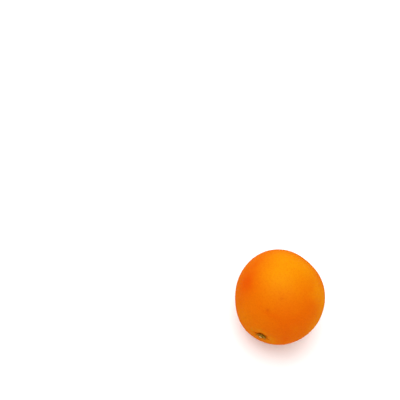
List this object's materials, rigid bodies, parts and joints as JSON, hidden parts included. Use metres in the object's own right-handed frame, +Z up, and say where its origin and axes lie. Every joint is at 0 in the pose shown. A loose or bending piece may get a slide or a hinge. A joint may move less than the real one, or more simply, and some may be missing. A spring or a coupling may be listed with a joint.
{
  "type": "orange",
  "caption": "Whole fresh navel orange lying on its side, with a dry star-shaped calyx in its stem hollow and a cleft navel at the far end.",
  "frame": {"origin": "on the surface that the fruit rests on, under the middle of its bounding box", "axes": "+Z up; the stem end with its calyx faces -Y and points 2 degrees below the horizontal; the navel faces +Y; X runs across the fruit"},
  "size_m": [0.0756, 0.0816, 0.0753],
  "materials": {
    "rind": "waxy, soft-sheened orange rind, dimpled with oil glands",
    "dry_calyx": "dry, matt, olive green turning brown"
  },
  "bodies": {
    "root": {"fruit": "rind", "calyx": "dry_calyx"}
  },
  "joints": []
}
